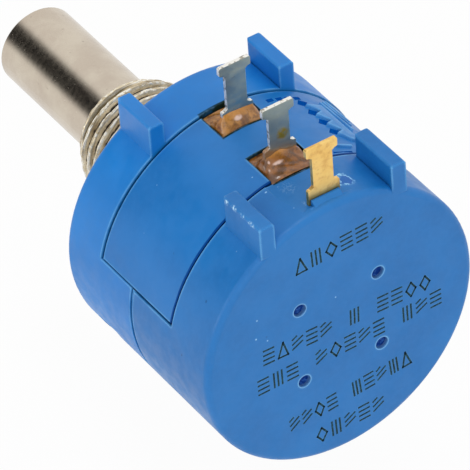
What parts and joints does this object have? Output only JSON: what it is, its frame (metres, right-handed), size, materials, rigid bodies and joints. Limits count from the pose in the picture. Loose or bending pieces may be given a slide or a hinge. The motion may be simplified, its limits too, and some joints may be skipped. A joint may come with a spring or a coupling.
{
  "type": "multi-turn rotary potentiometer",
  "caption": "Panel-mount wirewound potentiometer: round blue body with guard ribs, in-line solder terminals, threaded bushing and plain shaft.",
  "frame": {"origin": "centre of the mounting face, where the threaded bushing leaves the boss, on the shaft's axis", "axes": "-Y along the shaft towards its tip; +Z towards the terminals; +X completes the frame"},
  "size_m": [0.0222, 0.0397, 0.0271],
  "materials": {
    "cover_blue": "moulded, satin",
    "nickel_plated_brass": "nickel plated, satin",
    "nickel_steel": "turned and plated, satin",
    "tinned_brass": "tinned, dull",
    "gold_plated_brass": "gold plated, satin",
    "amber_resin": "cast resin, glossy",
    "resistance_winding": "wound wire",
    "spring_bronze": "rolled, satin",
    "spring_steel": "satin",
    "dark_plastic": "moulded, matte"
  },
  "bodies": {
    "housing": {"front_cover": "cover_blue", "rear_cover": "cover_blue", "element_housing": "cover_blue", "threaded_bushing": "nickel_plated_brass", "front_terminal": "tinned_brass", "middle_terminal": "tinned_brass", "rear_terminal": "gold_plated_brass", "front_element_lead": "tinned_brass", "rear_element_lead": "tinned_brass", "front_potting": "amber_resin", "middle_potting": "amber_resin", "resistance_element": "resistance_winding", "collector_brush": "spring_bronze"},
    "rotor_assembly": {"shaft": "nickel_steel", "retaining_ring": "spring_steel", "thrust_washer": "spring_bronze", "rotor": "dark_plastic", "collector_strip": "gold_plated_brass", "slip_ring": "gold_plated_brass"},
    "carriage": {"wiper_carriage": "dark_plastic", "wiper_contact": "spring_bronze", "carriage_brush": "spring_bronze"}
  },
  "joints": [
    {"name": "shaft_turn", "type": "hinge", "parent": "housing", "child": "rotor_assembly", "pos_m": [0, 0, 0], "axis": [0, -1, 0], "range_deg": [-1800, 1800]},
    {"name": "carriage_travel", "type": "slide", "parent": "rotor_assembly", "child": "carriage", "axis": [0, -1, 0], "range_m": [-0.00505, 0.00505]}
  ],
  "couplings": [
    {"joint": "carriage_travel", "follows": "shaft_turn", "m_per_rad": 0.00015915}
  ]
}
